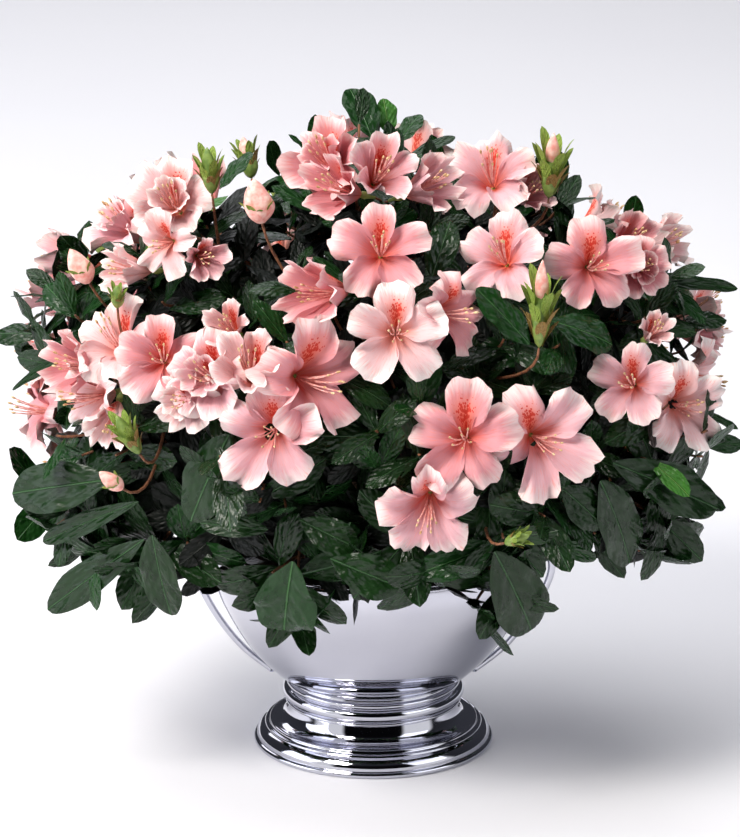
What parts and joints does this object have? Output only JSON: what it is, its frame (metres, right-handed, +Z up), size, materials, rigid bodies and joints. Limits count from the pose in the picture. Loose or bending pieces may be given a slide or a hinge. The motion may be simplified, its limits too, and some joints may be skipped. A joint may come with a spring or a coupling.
{
  "type": "azalea shrub in a footed metal bowl",
  "caption": "A rounded evergreen azalea shrub in full pink bloom, planted in a polished metal bowl with a moulded foot and a fixed strap handle on each side.",
  "frame": {"origin": "centre of the flat underside of the bowl's foot, at the mount base", "axes": "+Z up; +X to the viewer's right, along the line through both handles; +Y away from the viewer, to the back"},
  "size_m": [0.5357, 0.4444, 0.493],
  "materials": {
    "polished_metal": "polished",
    "soil": "matte",
    "bark": "matte",
    "leaf": "satin",
    "blossom": "matte"
  },
  "bodies": {
    "root": {"bowl": "polished_metal", "neck": "polished_metal", "foot": "polished_metal", "handle_left": "polished_metal", "handle_right": "polished_metal", "root_ball": "soil", "stem": "bark", "bough_crown_top": "bark", "bough_left": "bark", "bough_right": "bark", "bough_front_left": "bark", "bough_front_centre": "bark", "bough_front_right": "bark", "bough_back_left": "bark", "bough_back_right": "bark", "bough_back_centre": "bark", "foliage_crown_top": "leaf", "foliage_top_left": "leaf", "foliage_top_right": "leaf", "foliage_shoulder_left": "leaf", "foliage_shoulder_right": "leaf", "foliage_front_upper": "blossom", "foliage_front_upper_right": "blossom", "foliage_front_centre": "blossom", "foliage_left": "blossom", "foliage_front_left": "blossom", "foliage_right": "blossom", "foliage_front_right": "blossom", "foliage_front_low": "blossom", "foliage_skirt_left": "leaf", "foliage_skirt_front_left": "leaf", "foliage_skirt_right": "leaf", "foliage_apron_left": "leaf", "foliage_apron_right": "leaf", "foliage_back_top": "leaf", "foliage_back_left": "leaf", "foliage_back_right": "leaf", "foliage_back_centre": "leaf", "foliage_back_skirt_left": "leaf", "foliage_back_skirt_right": "leaf", "foliage_back_low": "leaf"}
  },
  "joints": []
}
